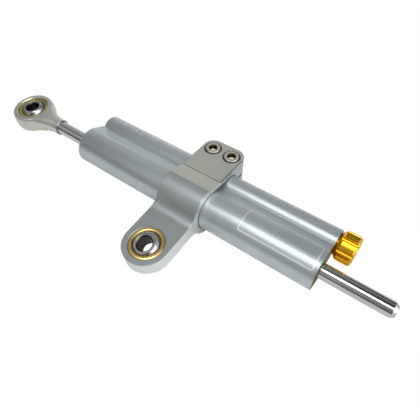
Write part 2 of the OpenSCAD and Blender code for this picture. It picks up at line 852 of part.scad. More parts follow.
module knob_screw() {
    color("silver") beyond_knob_end() translate([0, 0, knob_gap + knob_len - knob_dish + knob_screw_head_h])
        socket_screw(knob_screw_r, knob_screw_len, knob_screw_head_r, knob_screw_head_h, knob_socket);
}

module detent_ball() {
    color("gainsboro") at_end(KNOB, side_y)
        translate([0, detent_r, detent_ball_r - hub_back + run_gap]) sphere(r = detent_ball_r);
}

// Point on the detent spring's wire: p turns along the helix, q round the wire
function wire_point(turn, q, r, rise) =
    let (a = 360 * turn, c = r + detent_wire_r * cos(q))
    [c * cos(a), c * sin(a), rise * turn + detent_wire_r * sin(q)];

// Detent spring: one unbroken coil in its blind hole, under the ball
module detent_spring() {
    r = detent_hole_r - detent_wire_r - 0.06;
    low = 2 * detent_ball_r - hub_back + run_gap + detent_wire_r;
    rise = (sleeve_start + detent_depth - detent_wire_r - low) / detent_turns;
    n = detent_turns * detent_steps;
    pts = [for (i = [0:n]) for (j = [0:5]) wire_point(i / detent_steps, j * 60, r, rise)];
    walls = [for (i = [0:n - 1]) for (j = [0:5])
        let (a = 6 * i + j, b = 6 * i + (j + 1) % 6)
        each [[a, a + 6, b + 6], [a, b + 6, b]]];
    caps = [for (j = [1:4]) each [[0, j, j + 1], [6 * n, 6 * n + j + 1, 6 * n + j]]];
    echo("detent spring, least gap between its turns", rise - 2 * detent_wire_r);
    color("silver") at_end(KNOB, side_y) translate([0, detent_r, low])
        polyhedron(points = pts, faces = concat(walls, caps));
}

module reservoir_plug() {
    outer = side_bore_r - seat_gap;
    color("gray") at_end(EYE, side_y) difference() {
        cylinder_between(outer, circlip_back, plug_end);
        cylinder_between(fill_r + thread_gap, circlip_back - 1, plug_end + 1);
        cylinder_between(fill_head_r + loose_gap, circlip_back - 1, circlip_back + fill_head_h);
        o_ring_groove(outer, 1, circlip_back + plug_len / 2);
    }
}

module plug_o_ring() {
    color("black") at_end(EYE, side_y) o_ring(side_bore_r - seat_gap, 1, circlip_back + plug_len / 2);
}

module plug_circlip() {
    color("darkgoldenrod") at_end(EYE, side_y) circlip(side_bore_r);
}

module fill_screw() {
    color("silver") at_end(EYE, side_y) translate([0, 0, circlip_back]) rotate([180, 0, 0])
        socket_screw(fill_r, fill_screw_len - fill_head_h, fill_head_r, fill_head_h, fill_socket);
}

module floating_piston() {
    outer = side_bore_r - run_gap;
    color("silver") at_end(EYE, side_y) difference() {
        cylinder_between(outer, float_start, float_start + float_len);
        cylinder_between(outer - 1.6, float_start - 1, float_start + float_len / 2 - 1);
        o_ring_groove(outer, 1, float_start + float_len * 0.65);
    }
}

module floating_piston_o_ring() {
    color("black") at_end(EYE, side_y) o_ring(side_bore_r - run_gap, 1, float_start + float_len * 0.65);
}

body_housing();
rod_guide(EYE);  // rod_guide_eye_end
rod_guide(KNOB);  // rod_guide_knob_end
rod_bush(EYE);  // rod_bush_eye_end
rod_bush(KNOB);  // rod_bush_knob_end
rod_seal(EYE);  // rod_seal_eye_end
rod_seal(KNOB);  // rod_seal_knob_end
seal_washer(EYE);  // seal_washer_eye_end
seal_washer(KNOB);  // seal_washer_knob_end
rod_wiper(EYE);  // rod_wiper_eye_end
rod_wiper(KNOB);  // rod_wiper_knob_end
guide_o_ring(EYE);  // guide_o_ring_eye_end
guide_o_ring(KNOB);  // guide_o_ring_knob_end
guide_circlip(EYE);  // guide_circlip_eye_end
guide_circlip(KNOB);  // guide_circlip_knob_end
piston_rod();
piston();
piston_band();
shim_stack(EYE);  // shim_stack_eye_side
shim_stack(KNOB);  // shim_stack_knob_side
piston_washer(EYE);  // piston_washer_eye_side
piston_washer(KNOB);  // piston_washer_knob_side
piston_circlips();
rod_eye();
eye_collar();
eye_bearing_race();
eye_bearing_liner();
eye_bearing_ball();
clamp_bracket();
clamp_screws();
clamp_bearing_race();
clamp_bearing_liner();
clamp_bearing_ball();
adjuster_sleeve();
adjuster_sleeve_o_ring();
adjuster_spindle();
spindle_o_ring();
adjuster_needle();
needle_seat();
seat_o_ring();
adjuster_knob();
knob_screw();
detent_ball();
detent_spring();
reservoir_plug();
plug_o_ring();
plug_circlip();
fill_screw();
floating_piston();
floating_piston_o_ring();
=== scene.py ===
import json
import math

import bpy
from mathutils import Matrix, Vector


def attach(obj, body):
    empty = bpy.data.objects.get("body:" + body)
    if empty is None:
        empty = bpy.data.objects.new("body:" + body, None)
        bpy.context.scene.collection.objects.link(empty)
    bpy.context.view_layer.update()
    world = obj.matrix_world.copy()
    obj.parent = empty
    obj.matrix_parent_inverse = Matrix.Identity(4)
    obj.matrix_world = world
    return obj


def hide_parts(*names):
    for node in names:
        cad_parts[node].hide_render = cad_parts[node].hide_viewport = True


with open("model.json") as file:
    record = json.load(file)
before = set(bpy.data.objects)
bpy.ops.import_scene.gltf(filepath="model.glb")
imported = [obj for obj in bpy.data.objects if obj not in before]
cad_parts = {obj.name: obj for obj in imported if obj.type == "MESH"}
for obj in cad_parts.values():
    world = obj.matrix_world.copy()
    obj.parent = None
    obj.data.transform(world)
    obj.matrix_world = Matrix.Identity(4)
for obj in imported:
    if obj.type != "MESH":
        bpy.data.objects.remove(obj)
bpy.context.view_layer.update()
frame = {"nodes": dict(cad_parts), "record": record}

# Sizes of the damper in millimetres, in the part's own frame. Tilts are in radians.

# Body: a main tube and a side tube along X, joined by a web
MAIN_Y = 36.5
SIDE_Y = 54.3
TUBE_GAP = SIDE_Y - MAIN_Y
MAIN_R = 10.8
SIDE_R = 7.0
MAIN_BORE = 8.0
SIDE_BORE = 5.0
WEB = math.radians(29.5)
BODY_END = 77.0

# Engraved frame on the main tube
FRAME_LEN = 41
FRAME_H = 14.2
FRAME_CORNER = 1.1
FRAME_LINE = 0.8
FRAME_DEPTH = 0.15
FRAME_END_GAP = 2
FRAME_TURN = 1             # degrees about the main tube

# Rod and collar
ROD_R = 4.0
ROD_START = -107.0
ROD_TIP = 113.6
COLLAR_R = 4.95
COLLAR_BORE = 4.02

# Eye
EYE_X = -131.4
EYE_R = 13.1
EYE_HALF = 5.1
EYE_REACH = 24.4
EYE_CENTRE = (EYE_X, MAIN_Y, 0)
NECK_R = 4.7
FLARE_R = 32.0
FORGING_VOXEL = 0.2
FORGING_PASSES = 30

# Spherical bearings
RACE_R = 9.5
RACE_HALF = 4.25
RACE_FACE = RACE_R - 2.2   # where the race's flat face ends at its dome
RACE_DOME = 8.43
LINER_OUTER = 8.39
LINER_INNER = 7.99
BALL_R = 7.95
BALL_HALF = 5.5
BALL_BORE = 4.0
BALL_MOUTH = 0.6
BALL_LEAN = 11             # degrees, the loose ball in the clamp's arm
SEAT_R = RACE_R + 0.05

# Clamp
CLAMP_CENTRE = (0, 0, 0)
CLAMP_HALF = 12.75
BARREL_R = 14.8
ARM_T = 8.5
ARM_FILLET = 7.5
FACET_TILT = math.radians(19)
FACET_H = 14.3
EAR_TILT = math.radians(6.5)
EAR_H = 10.65
EAR_REACH = 18.4
SLOT_HALF = 0.8
TUBE_CLEARANCE = 0.05
MOUTH_CLEARANCE = 0.45     # in the steps at both ends of the clamp's bore
MOUTH_DEPTH = 0.4
COUNTERBORE_R = 5.1
CLEAR_HOLE_R = 2.65
TAPPED_HOLE_R = 2.52

# Clamp screws
SCREW_X = 6.25
SCREW_REACH = 11.2
SCREW_R = 2.5
SCREW_LEN = 20.9
HEAD_R = 4.25
HEAD_H = 5.0
HEAD_PROUD = 0.7
KEY_WIDTH = 4.2
KEY_DEPTH = 2.2
KEY_TURN = 12              # degrees about the screw

# Knob
KNOB_BACK = BODY_END + 0.4
KNOB_FRONT = BODY_END + 10.1
KNOB_FOOT = 76.9
KNOB_R = 8.0
KNOB_BORE = 2.52
GROOVES = 8
GROOVE_R = 1.1
GROOVE_RING = 8.11
GROOVE_TURN = 213          # degrees about the knob's axis

MERGE = 0.0005             # points that lie nearer than this are one
ALONG_X = (0, math.pi / 2, 0)


# ---------------------------------------------------------------- workshop

def clear_selection():
    """Back in object mode with nothing selected."""
    if bpy.context.mode != "OBJECT":
        bpy.ops.object.mode_set(mode="OBJECT")
    bpy.ops.object.select_all(action="DESELECT")


def take(piece):
    """Makes this piece the only selected one."""
    clear_selection()
    bpy.context.view_layer.objects.active = piece
    piece.select_set(True)


def edit(piece):
    """Opens this piece in edit mode, selected all over."""
    take(piece)
    bpy.ops.object.mode_set(mode="EDIT")
    bpy.ops.mesh.select_all(action="SELECT")


def draw(name, points):
    """Draws a line through the points: a plane drawn together to one point, then extruded."""
    clear_selection()
    bpy.ops.mesh.primitive_plane_add(size=2)
    piece = bpy.context.object
    piece.name = piece.data.name = name
    bpy.ops.object.mode_set(mode="EDIT")
    bpy.ops.mesh.select_all(action="SELECT")
    bpy.ops.mesh.merge(type="CENTER")
    bpy.ops.transform.translate(value=points[0])
    for a, b in zip(points, points[1:]):
        step = Vector(b) - Vector(a)
        bpy.ops.mesh.extrude_vertices_move(TRANSFORM_OT_translate={"value": step})
    bpy.ops.mesh.select_all(action="SELECT")
    bpy.ops.mesh.remove_doubles(threshold=MERGE)
    return piece


def close_up():
    """Merges what meets, and turns every face outwards."""
    bpy.ops.mesh.select_all(action="SELECT")
    bpy.ops.mesh.remove_doubles(threshold=MERGE)
    bpy.ops.mesh.normals_make_consistent(inside=False)
    bpy.ops.object.mode_set(mode="OBJECT")


def turned_along_x(name, y, profile, steps):
    """A lathe-turned piece on an axis along X: profile is (x, radius)."""
    piece = draw(name, [(x, y, r) for x, r in profile])
    bpy.ops.mesh.spin(steps=steps, angle=2 * math.pi, center=(0, y, 0), axis=(1, 0, 0))
    close_up()
    return piece


def turned_upright(name, centre, profile, steps):
    """A lathe-turned piece on an axis along Z: profile is (radius, z)."""
    piece = draw(name, [(centre[0] + r, centre[1], centre[2] + z) for r, z in profile])
    bpy.ops.mesh.spin(steps=steps, angle=2 * math.pi, center=centre, axis=(0, 0, 1))
    close_up()
    return piece


def sawn_from_section(name, section, start, *lengths):
    """A bar along X with this section, drawn as (y, z), in one length or several."""
    piece = draw(name, [(start, y, z) for y, z in section + section[:1]])
    bpy.ops.mesh.edge_face_add()
    for length in lengths:
        bpy.ops.mesh.extrude_region_move(TRANSFORM_OT_translate={"value": (length, 0, 0)})
    close_up()
    return piece


def sawn_from_plan(name, plan, bottom, height):
    """A block along Z with this plan, drawn as (x, y)."""
    piece = draw(name, [(x, y, bottom) for x, y in plan + plan[:1]])
    bpy.ops.mesh.edge_face_add()
    bpy.ops.mesh.extrude_region_move(TRANSFORM_OT_translate={"value": (0, 0, height)})
    close_up()
    return piece


def pin(name, radius, length, middle, sides, tilt=(0, 0, 0)):
    """A plain pin about its middle, used as a drill or a broach."""
    clear_selection()
    bpy.ops.mesh.primitive_cylinder_add(vertices=sides, radius=radius, depth=length,
                                        location=middle, rotation=tilt)
    piece = bpy.context.object
    piece.name = piece.data.name = name
    bpy.ops.object.transform_apply(location=True, rotation=True, scale=True)
    return piece


def arc(centre, radius, a, b, steps):
    """Points on a circle from angle a to angle b, in degrees."""
    return [(centre[0] + radius * math.cos(math.radians(a + (b - a) * i / steps)),
             centre[1] + radius * math.sin(math.radians(a + (b - a) * i / steps)))
            for i in range(steps + 1)]


def work(piece, tool, operation):
    """Joins a piece with a tool, cuts it or keeps what they share, and uses the tool up."""
    take(piece)
    m = piece.modifiers.new("work", "BOOLEAN")
    m.operation = operation
    m.object = tool
    m.solver = "EXACT"
    bpy.ops.object.modifier_apply(modifier=m.name)
    bpy.data.objects.remove(tool)


def cut(piece, tool):
    """Cuts the piece with a tool, and uses the tool up."""
    work(piece, tool, "DIFFERENCE")


def soften(piece, width, angle, segments):
    """Breaks the edges that are sharper than the angle."""
    take(piece)
    m = piece.modifiers.new("edges", "BEVEL")
    m.width = width
    m.segments = segments
    m.limit_method = "ANGLE"
    m.angle_limit = math.radians(angle)
    m.miter_outer = "MITER_ARC"
    bpy.ops.object.modifier_apply(modifier=m.name)


def smooth(piece, angle, weighted=True):
    """Shades the piece smooth up to this angle, with large faces kept flat if weighted."""
    take(piece)
    bpy.ops.object.shade_smooth_by_angle(angle=math.radians(angle))
    if weighted:
        m = piece.modifiers.new("normals", "WEIGHTED_NORMAL")
        m.keep_sharp = True
        m.weight = 60
        bpy.ops.object.modifier_apply(modifier=m.name)


def paint(piece, index, chosen):
    """Gives the faces whose middle and normal are chosen the finish with this number."""
    for face in piece.data.polygons:
        if chosen(face.center, face.normal):
            face.material_index = index


def turn(piece, angle, axis, centre):
    """Turns the piece's mesh about an axis, by degrees."""
    edit(piece)
    bpy.ops.transform.rotate(value=-math.radians(angle), orient_axis=axis,
                             center_override=centre)
    bpy.ops.object.mode_set(mode="OBJECT")


def fit(piece, body, nodes, slot, *finishes):
    """Brings the piece from millimetres to metres and puts it in the damper."""
    take(piece)
    piece.scale = (0.001, 0.001, 0.001)
    bpy.ops.object.transform_apply(location=True, rotation=True, scale=True)
    numbers = [face.material_index for face in piece.data.polygons]
    piece.data.materials.clear()
    for finish in finishes:
        piece.data.materials.append(finish)
    if len(finishes) > 1:
        for face, number in zip(piece.data.polygons, numbers):
            face.material_index = number
    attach(piece, body)
    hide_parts(*nodes)


# ---------------------------------------------------------------- finishes

def new_group(name, ins, outs):
    """A shader node group with these sockets: ins are (name, kind, default), outs (name, kind)."""
    group = bpy.data.node_groups.new(name, "ShaderNodeTree")
    for label, kind, value in ins:
        s = group.interface.new_socket(label, in_out="INPUT", socket_type=kind)
        s.default_value = value
    for label, kind in outs:
        group.interface.new_socket(label, in_out="OUTPUT", socket_type=kind)
    return group, group.nodes.new("NodeGroupInput"), group.nodes.new("NodeGroupOutput")


def grain_group():
    """Fine drawn or ground grain: noise stretched along the piece."""
    g, gin, gout = new_group("drawn_grain", [
        ("Stretch", "NodeSocketVector", (40, 900, 900)), ("Detail", "NodeSocketFloat", 3.0),
        ("Low", "NodeSocketFloat", 0.0), ("High", "NodeSocketFloat", 1.0)],
        [("Mask", "NodeSocketFloat")])
    place = g.nodes.new("ShaderNodeTexCoord")
    stretch = g.nodes.new("ShaderNodeVectorMath")
    stretch.operation = "MULTIPLY"
    noise = g.nodes.new("ShaderNodeTexNoise")
    noise.inputs["Scale"].default_value = 1.0
    remap = g.nodes.new("ShaderNodeMapRange")
    remap.inputs["From Min"].default_value = 0.3
    remap.inputs["From Max"].default_value = 0.7
    g.links.new(place.outputs["Object"], stretch.inputs[0])
    g.links.new(gin.outputs["Stretch"], stretch.inputs[1])
    g.links.new(stretch.outputs[0], noise.inputs["Vector"])
    g.links.new(gin.outputs["Detail"], noise.inputs["Detail"])
    g.links.new(noise.outputs["Fac"], remap.inputs["Value"])
    g.links.new(gin.outputs["Low"], remap.inputs["To Min"])
    g.links.new(gin.outputs["High"], remap.inputs["To Max"])
    g.links.new(remap.outputs["Result"], gout.inputs["Mask"])
    return g


def cloud_group():
    """Broad uneven patches, such as handling marks or a passivated bloom."""
    g, gin, gout = new_group("bloom", [
        ("Size", "NodeSocketFloat", 60.0), ("From", "NodeSocketFloat", 0.35),
        ("To", "NodeSocketFloat", 0.65), ("Shift", "NodeSocketVector", (0, 0, 0))],
        [("Mask", "NodeSocketFloat")])
    place = g.nodes.new("ShaderNodeTexCoord")
    shift = g.nodes.new("ShaderNodeVectorMath")
    shift.operation = "ADD"
    noise = g.nodes.new("ShaderNodeTexNoise")
    noise.inputs["Detail"].default_value = 3.0
    noise.inputs["Roughness"].default_value = 0.55
    remap = g.nodes.new("ShaderNodeMapRange")
    remap.interpolation_type = "SMOOTHSTEP"
    g.links.new(place.outputs["Object"], shift.inputs[0])
    g.links.new(gin.outputs["Shift"], shift.inputs[1])
    g.links.new(shift.outputs[0], noise.inputs["Vector"])
    g.links.new(gin.outputs["Size"], noise.inputs["Scale"])
    g.links.new(noise.outputs["Fac"], remap.inputs["Value"])
    g.links.new(gin.outputs["From"], remap.inputs["From Min"])
    g.links.new(gin.outputs["To"], remap.inputs["From Max"])
    g.links.new(remap.outputs["Result"], gout.inputs["Mask"])
    return g


def speckle_group():
    """Bead-blasted or cast texture: a fine even speckle with a few pits."""
    g, gin, gout = new_group("blasted_speckle", [
        ("Size", "NodeSocketFloat", 1500.0), ("Pits", "NodeSocketFloat", 0.3)],
        [("Height", "NodeSocketFloat")])
    place = g.nodes.new("ShaderNodeTexCoord")
    noise = g.nodes.new("ShaderNodeTexNoise")
    noise.inputs["Detail"].default_value = 2.0
    pits = g.nodes.new("ShaderNodeTexVoronoi")
    scale = g.nodes.new("ShaderNodeMath")
    scale.operation = "MULTIPLY"
    scale.inputs[1].default_value = 0.6
    deep = g.nodes.new("ShaderNodeMath")
    deep.operation = "MULTIPLY"
    both = g.nodes.new("ShaderNodeMath")
    both.operation = "SUBTRACT"
    g.links.new(place.outputs["Object"], noise.inputs["Vector"])
    g.links.new(place.outputs["Object"], pits.inputs["Vector"])
    g.links.new(gin.outputs["Size"], noise.inputs["Scale"])
    g.links.new(gin.outputs["Size"], scale.inputs[0])
    g.links.new(scale.outputs[0], pits.inputs["Scale"])
    g.links.new(pits.outputs["Distance"], deep.inputs[0])
    g.links.new(gin.outputs["Pits"], deep.inputs[1])
    g.links.new(noise.outputs["Fac"], both.inputs[0])
    g.links.new(deep.outputs[0], both.inputs[1])
    g.links.new(both.outputs[0], gout.inputs["Height"])
    return g


GRAIN = grain_group()
BLOOM = cloud_group()
SPECKLE = speckle_group()


class Finish:
    """One material: a Principled shader, with helpers that feed it."""

    def __init__(self, name, colour, rough, metal=1.0, specular=0.5):
        self.mat = bpy.data.materials.new(name)
        self.mat.use_nodes = True
        self.tree = self.mat.node_tree
        self.shader = self.tree.nodes["Principled BSDF"]
        self.set("Base Color", (*colour, 1))
        self.set("Roughness", rough)
        self.set("Metallic", metal)
        self.set("Specular IOR Level", specular)
        self.mat.diffuse_color = (*colour, 1)

    def set(self, socket, value):
        self.shader.inputs[socket].default_value = value

    def group(self, group, **values):
        """Places a node group with these values, and gives its output."""
        n = self.tree.nodes.new("ShaderNodeGroup")
        n.node_tree = group
        for key, value in values.items():
            n.inputs[key].default_value = value
        return n.outputs[0]

    def colour(self, mask, a, b):
        """Colour a where the mask is 0 and b where it is 1."""
        n = self.tree.nodes.new("ShaderNodeMix")
        n.data_type = "RGBA"
        self.tree.links.new(mask, n.inputs[0])
        n.inputs[6].default_value = (*a, 1)
        n.inputs[7].default_value = (*b, 1)
        self.tree.links.new(n.outputs[2], self.shader.inputs["Base Color"])

    def rough(self, mask, low, high):
        """Roughness from low to high as the mask goes from 0 to 1."""
        n = self.tree.nodes.new("ShaderNodeMapRange")
        n.inputs["To Min"].default_value = low
        n.inputs["To Max"].default_value = high
        self.tree.links.new(mask, n.inputs["Value"])
        self.tree.links.new(n.outputs["Result"], self.shader.inputs["Roughness"])

    def bump(self, height, strength, distance):
        n = self.tree.nodes.new("ShaderNodeBump")
        n.inputs["Strength"].default_value = strength
        n.inputs["Distance"].default_value = distance
        self.tree.links.new(height, n.inputs["Height"])
        self.tree.links.new(n.outputs["Normal"], self.shader.inputs["Normal"])


def drawn_metal(name, colour, dark, rough, stretch, bump=0.02, metal=1.0):
    """Machined or extruded metal: grain in the roughness, a broad bloom in the colour."""
    f = Finish(name, colour, rough, metal)
    grain = f.group(GRAIN, Stretch=stretch)
    f.colour(f.group(BLOOM, Size=60.0), colour, dark)
    f.rough(grain, rough * 0.85, rough * 1.15)
    f.bump(grain, bump, 0.00002)
    return f.mat


def blasted_metal(name, colour, dark, rough, size=1500.0, bump=0.1, metal=1.0):
    """Bead-blasted or forged metal: fine speckle in the bump, a broad bloom in the colour."""
    f = Finish(name, colour, rough, metal)
    f.colour(f.group(BLOOM, Size=45.0, Shift=(0.3, 0.1, 0.2)), colour, dark)
    f.rough(f.group(BLOOM, Size=120.0), rough * 0.9, rough * 1.1)
    f.bump(f.group(SPECKLE, Size=size), bump, 0.00003)
    return f.mat


def polished_metal(name, colour, dark, rough, scratches=(60, 1500, 1500)):
    """Polished or plated metal: faint hairlines and smudges in the roughness."""
    f = Finish(name, colour, rough)
    f.colour(f.group(BLOOM, Size=90.0), colour, dark)
    f.rough(f.group(GRAIN, Stretch=scratches, Detail=4.0), rough * 0.7, rough * 1.4)
    return f.mat


def dull(name, colour, dark, rough):
    """Rubber, fabric or plastic."""
    f = Finish(name, colour, rough, metal=0.0, specular=0.35)
    f.colour(f.group(BLOOM, Size=300.0), colour, dark)
    f.bump(f.group(SPECKLE, Size=900.0), 0.2, 0.00004)
    return f.mat


# How finely the grain runs along X, Y and Z: it is longest where the number is smallest
DRAWN = (25, 1200, 1200)
GROUND = (1500, 200, 200)
FACED = (300, 900, 900)
BORED = (500, 200, 200)
TURNED = (900, 200, 200)
TURNED_UPRIGHT = (300, 300, 900)
HONED_BORE = (500, 500, 60)
LAPPED_BALL = (200, 200, 200)
ROLLED = (600, 600, 600)
HEADED = (400, 400, 400)
FLUTED = (40, 900, 900)

# Body
anodised_body = drawn_metal("satin_anodised_body", (0.575, 0.635, 0.65), (0.55, 0.605, 0.625),
                            0.38, DRAWN, 0.03, metal=0.75)
engraved_line = blasted_metal("engraved_line", (0.95, 0.99, 0.98), (0.92, 0.96, 0.95), 0.5,
                              metal=0.9)
faced_end = drawn_metal("faced_end", (0.42, 0.37, 0.25), (0.34, 0.30, 0.20), 0.45, FACED)
# Painted shade: a darker olive finish for the main bore's wall.
bore_wall_shade = drawn_metal("bore_wall_shade", (0.46, 0.40, 0.28), (0.38, 0.33, 0.22), 0.4, BORED,
                         metal=0.8)

# Clamp and its screws
blasted_clamp = blasted_metal("blasted_clamp", (0.44, 0.475, 0.48), (0.41, 0.44, 0.45), 0.42,
                              metal=0.75)
milled_clamp = blasted_metal("milled_clamp_flat", (0.66, 0.67, 0.60), (0.62, 0.63, 0.57), 0.36,
                             metal=0.75)
# Painted light: a much lighter copy of the blasted finish for the arm's end faces and round end.
painted_light_side = blasted_metal("arm_side_painted_light", (0.80, 0.83, 0.82), (0.76, 0.79, 0.78), 0.4,
                          metal=0.8)
# Painted highlight: a lighter, shinier finish for the clamp's end edges.
edge_highlight = polished_metal("painted_edge_highlight", (0.60, 0.62, 0.61), (0.55, 0.57, 0.56), 0.36)
# Painted shade: a near-black finish for the clamp's shaded edges, gaps and creases.
painted_shade_line = dull("painted_shade_line", (0.10, 0.105, 0.11), (0.08, 0.085, 0.09), 0.6)
stainless_screw = drawn_metal("stainless_screw", (0.72, 0.72, 0.65), (0.66, 0.66, 0.60), 0.28,
                              HEADED, metal=0.85)
# Painted shade: a dark brown finish for the sockets' walls.
screw_socket = drawn_metal("screw_socket", (0.09, 0.065, 0.03), (0.07, 0.05, 0.025), 0.35,
                           HEADED)
# Painted highlight: a pale, nearly matt finish for the sockets' drilled ends.
socket_floor_highlight = drawn_metal("socket_floor_highlight", (0.98, 0.93, 0.70), (0.92, 0.86, 0.62), 0.5,
                           HEADED, metal=0.2)

# Rod, collar and eye
chromed_rod = polished_metal("chromed_rod", (0.62, 0.62, 0.63), (0.58, 0.58, 0.60), 0.09,
                             GROUND)
polished_collar = polished_metal("polished_collar", (0.86, 0.86, 0.84), (0.80, 0.80, 0.78), 0.3)
# Painted shade: the collar's hollow front takes this dark finish.
collar_hollow_shade = polished_metal("collar_hollow_shade", (0.3, 0.3, 0.3), (0.25, 0.25, 0.25), 0.25)
forged_eye = blasted_metal("forged_eye", (0.66, 0.665, 0.60), (0.60, 0.615, 0.565), 0.33,
                           900.0, 0.02, metal=0.8)

# Spherical bearings
brass_race = drawn_metal("yellow_race", (0.98, 0.71, 0.27), (0.90, 0.64, 0.24), 0.26,
                         TURNED_UPRIGHT)
olive_race = drawn_metal("olive_race", (0.72, 0.60, 0.20), (0.56, 0.46, 0.14), 0.26,
                         TURNED_UPRIGHT)
# Painted shade: the race's edges and domed bore take this dark brown finish.
race_edge_shade = drawn_metal("race_edge_painted_shade", (0.34, 0.23, 0.07), (0.26, 0.17, 0.05), 0.3,
                          TURNED_UPRIGHT)
slide_liner = dull("slide_liner", (0.15, 0.10, 0.04), (0.10, 0.07, 0.03), 0.8)
chromed_ball = polished_metal("chromed_ball", (0.50, 0.50, 0.52), (0.48, 0.48, 0.50), 0.2,
                              LAPPED_BALL)
# Painted shade: the ball's bore takes this near-black finish, for the dark inside the bore.
ball_bore_shade = polished_metal("ball_bore_shade", (0.085, 0.078, 0.078), (0.05, 0.045, 0.045), 0.3,
                           HONED_BORE)

# Knob, and the pieces inside
gold_knob = drawn_metal("gold_anodised_knob", (0.96, 0.53, 0.03), (0.90, 0.42, 0.02), 0.24,
                        FLUTED)
guide_metal = drawn_metal("machined_guide", (0.42, 0.37, 0.25), (0.34, 0.30, 0.21), 0.3, BORED)
bronze_bush = drawn_metal("bronze_bush", (0.55, 0.38, 0.17), (0.46, 0.31, 0.14), 0.32, BORED)
black_rubber = dull("black_rubber", (0.02, 0.02, 0.021), (0.03, 0.03, 0.03), 0.55)
spring_steel = drawn_metal("dark_spring_steel", (0.26, 0.22, 0.15), (0.2, 0.17, 0.12), 0.35,
                           ROLLED)
plain_steel = drawn_metal("plain_steel", (0.55, 0.55, 0.54), (0.48, 0.48, 0.47), 0.3, ROLLED)
turned_aluminium = drawn_metal("turned_aluminium", (0.6, 0.6, 0.59), (0.53, 0.53, 0.53), 0.3,
                               TURNED)
slide_band = dull("slide_band", (0.10, 0.12, 0.10), (0.08, 0.09, 0.08), 0.6)
dark_sleeve = drawn_metal("dark_sleeve", (0.12, 0.12, 0.12), (0.09, 0.09, 0.09), 0.35, TURNED)
seat_brass = drawn_metal("seat_brass", (0.62, 0.46, 0.2), (0.54, 0.4, 0.17), 0.28, TURNED)


# ---------------------------------------------------------------- body

def body_section():
    """Both tubes and the web between them, as (y, z)."""
    t = (MAIN_R * math.sin(WEB), MAIN_R * math.cos(WEB))
    along = (math.cos(WEB), -math.sin(WEB))
    off = (t[0] - TUBE_GAP, t[1])
    b = along[0] * off[0] + along[1] * off[1]
    reach = -b - math.sqrt(b * b - off[0] ** 2 - off[1] ** 2 + SIDE_R ** 2)
    valley = (off[0] + reach * along[0], off[1] + reach * along[1])
    a_main = math.degrees(math.atan2(t[1], t[0]))
    a_side = math.degrees(math.atan2(valley[1], valley[0]))
    return (arc((MAIN_Y, 0), MAIN_R, a_main, 360 - a_main, 400)
            + arc((SIDE_Y, 0), SIDE_R, -a_side, a_side, 240))


def frame_outline(middle, inset):
    """The frame's outline with round corners, this far inside its outer edge, as (x, y)."""
    r, steps = FRAME_CORNER - inset, 6
    x, y = (FRAME_LEN - 2 * inset) / 2 - r, (FRAME_H - 2 * inset) / 2 - r
    corners = (arc((x, y), r, 0, 90, steps) + arc((-x, y), r, 90, 180, steps)
               + arc((-x, -y), r, 180, 270, steps) + arc((x, -y), r, 270, 360, steps))
    return [(middle + x, MAIN_Y + y) for x, y in corners]


def frame_cutter():
    """The engraved frame's line, as a thin shell that follows the main tube."""
    middle = BODY_END - FRAME_END_GAP - FRAME_LEN / 2
    cutter = sawn_from_plan("frame_line", frame_outline(middle, 0), 2, 12)
    cut(cutter, sawn_from_plan("frame_inside", frame_outline(middle, FRAME_LINE), 1, 14))
    turn(cutter, FRAME_TURN, "X", (0, MAIN_Y, 0))
    cut(cutter, pin("frame_core", MAIN_R - FRAME_DEPTH, 60, (middle, MAIN_Y, 0), 240, ALONG_X))
    return cutter


def make_body():
    """Extruded twin tube, bored, its mouths broken, and the frame engraved at the knob's end."""
    bay = FRAME_LEN + FRAME_END_GAP
    piece = sawn_from_section("body_housing_shell", body_section(), -BODY_END,
                              2 * BODY_END - bay - FRAME_END_GAP, bay, FRAME_END_GAP)
    cut(piece, pin("main_bore", MAIN_BORE, 200, (0, MAIN_Y, 0), 128, ALONG_X))
    cut(piece, pin("side_bore", SIDE_BORE, 200, (0, SIDE_Y, 0), 96, ALONG_X))
    soften(piece, 0.3, 50, 2)
    cut(piece, frame_cutter())
    smooth(piece, 35, weighted=False)

    # Finish numbers: engraved line, painted shade in the main bore, end faces
    engraved, bored, faced = 1, 2, 3
    frame_end = BODY_END - FRAME_END_GAP

    def off_axis(c):
        return math.hypot(c.y - MAIN_Y, c.z)

    paint(piece, engraved, lambda c, n: frame_end - FRAME_LEN - 4 < c.x < frame_end + 0.5
          and c.z > 0 and n.z > 0 and MAIN_R - 0.4 < off_axis(c) < MAIN_R - 0.02)
    # Painted shade on the main bore's wall.
    paint(piece, bored, lambda c, n: off_axis(c) < MAIN_BORE + 0.1)
    paint(piece, faced, lambda c, n: abs(n.x) > 0.9)
    fit(piece, "housing", ["body_housing"], "body_anodised", anodised_body, engraved_line,
        bore_wall_shade, faced_end)


# ---------------------------------------------------------------- rod, collar and eye

def make_rod():
    """Ground bar with a rounded tip."""
    piece = turned_along_x("piston_rod_bar", MAIN_Y, [
        (ROD_START, 0), (ROD_START, ROD_R), (ROD_TIP - 2.0, ROD_R), (ROD_TIP - 1.7, ROD_R - 0.1),
        (ROD_TIP - 0.15, ROD_R - 1.06), (ROD_TIP, ROD_R - 1.22), (ROD_TIP, 0)], 160)
    smooth(piece, 20)
    fit(piece, "rod", ["piston_rod"], "rod_chrome", chromed_rod)


def make_collar():
    """Polished ring whose front is hollowed down to the rod."""
    r, back = COLLAR_R, ROD_START
    piece = turned_along_x("collar_ring", MAIN_Y, [
        (back, COLLAR_BORE), (back, r - 0.3), (back + 0.3, r), (back + 1.85, r),
        (back + 1.98, r - 0.06)] + arc((back + 2.85, r + 0.05), 0.85, 185, 265, 8) + [
        (back + 2.8, COLLAR_BORE), (back, COLLAR_BORE)], 128)
    smooth(piece, 30)
    # Painted shade: the hollow front of the collar takes the dark finish.
    paint(piece, 1, lambda c, n: c.x > back + 1.99
          and math.hypot(c.y - MAIN_Y, c.z) < r - 0.1)
    fit(piece, "rod", ["eye_collar"], "collar_steel", polished_collar, collar_hollow_shade)


